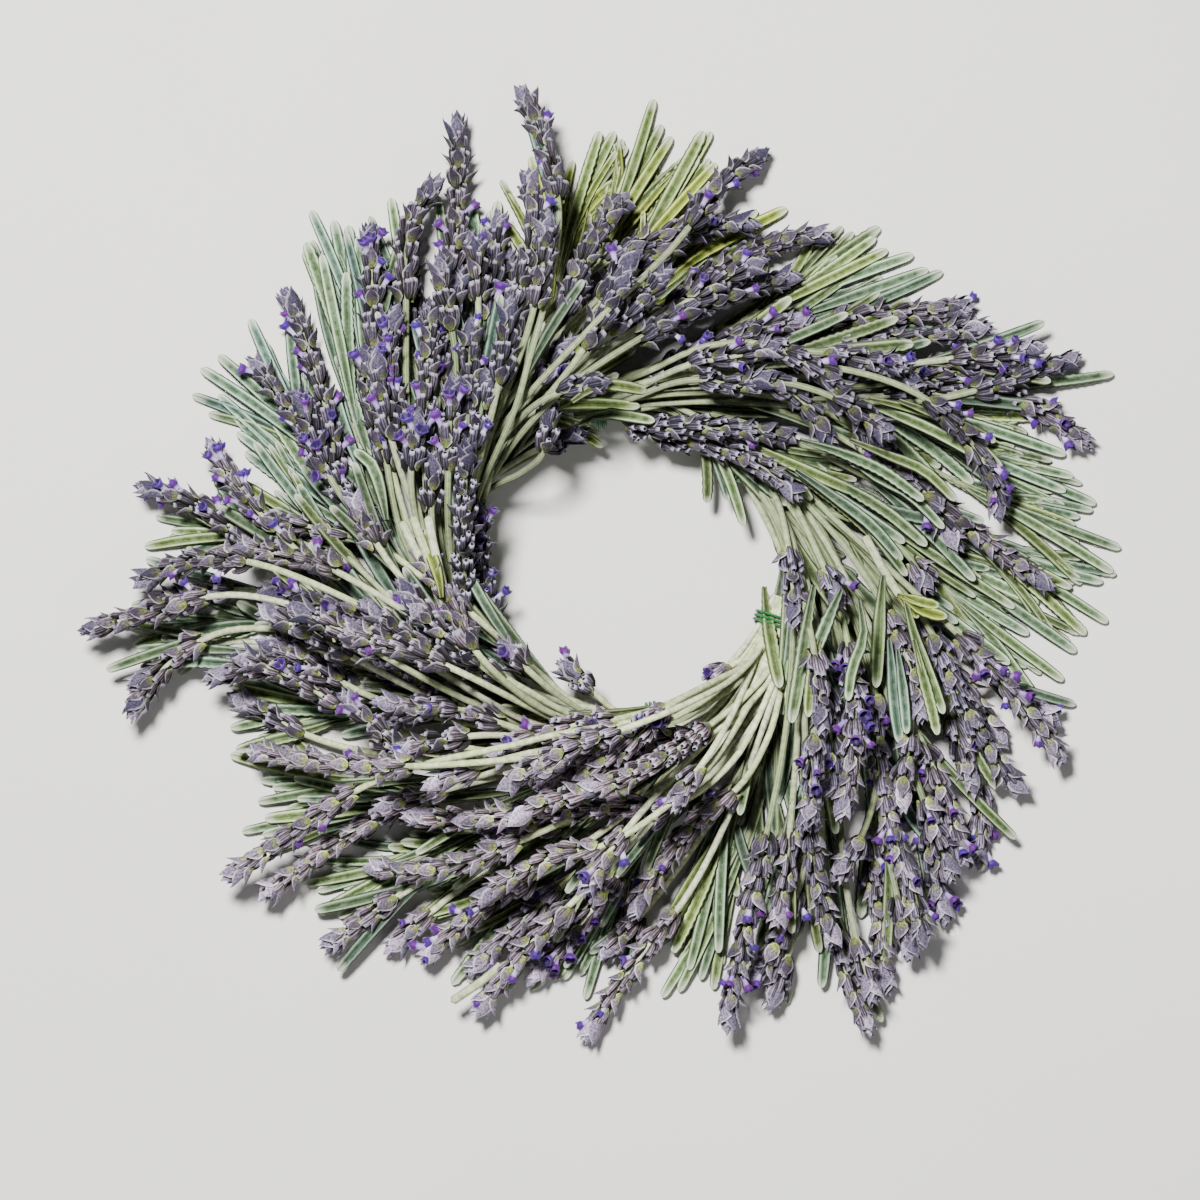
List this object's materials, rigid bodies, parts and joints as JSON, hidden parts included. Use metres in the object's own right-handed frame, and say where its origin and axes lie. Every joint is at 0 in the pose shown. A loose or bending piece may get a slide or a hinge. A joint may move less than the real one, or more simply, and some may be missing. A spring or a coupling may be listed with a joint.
{
  "type": "fresh lavender wreath",
  "caption": "Wreath of fresh lavender: overlapping bunches of flower stems and grey-green leafy shoots, bound with green wire to a wire ring with an open centre.",
  "frame": {"origin": "middle of the whole wreath's box in plan, at the underside of the binding wires that it lies on", "axes": "+Z from the back to the front of the wreath, +Y to the top of the picture, +X to its right"},
  "size_m": [0.3524, 0.3236, 0.0793],
  "materials": {
    "lavender_flower": "matte, downy grey-mauve calyces with small violet petals on pale green stems",
    "lavender_leaf": "matte, downy grey-green",
    "ring_wire": "dark green enamel, semi-matt",
    "binding_wire": "green enamel, semi-matt"
  },
  "bodies": {
    "root": {"ring_wire": "ring_wire", "binding_1": "binding_wire", "binding_2": "binding_wire", "binding_3": "binding_wire", "binding_4": "binding_wire", "binding_5": "binding_wire", "binding_6": "binding_wire", "bunch_1_leaves_low": "lavender_leaf", "bunch_1_leaves_high": "lavender_leaf", "bunch_1_heads_low": "lavender_flower", "bunch_1_heads_high": "lavender_flower", "bunch_2_leaves_low": "lavender_leaf", "bunch_2_leaves_high": "lavender_leaf", "bunch_2_heads_low": "lavender_flower", "bunch_2_heads_high": "lavender_flower", "bunch_3_leaves_low": "lavender_leaf", "bunch_3_leaves_high": "lavender_leaf", "bunch_3_heads_low": "lavender_flower", "bunch_3_heads_high": "lavender_flower", "bunch_4_leaves_low": "lavender_leaf", "bunch_4_leaves_high": "lavender_leaf", "bunch_4_heads_low": "lavender_flower", "bunch_4_heads_high": "lavender_flower", "bunch_5_leaves_low": "lavender_leaf", "bunch_5_leaves_high": "lavender_leaf", "bunch_5_heads_low": "lavender_flower", "bunch_5_heads_high": "lavender_flower", "bunch_6_leaves_low": "lavender_leaf", "bunch_6_leaves_high": "lavender_leaf", "bunch_6_heads_low": "lavender_flower", "bunch_6_heads_high": "lavender_flower"}
  },
  "joints": []
}
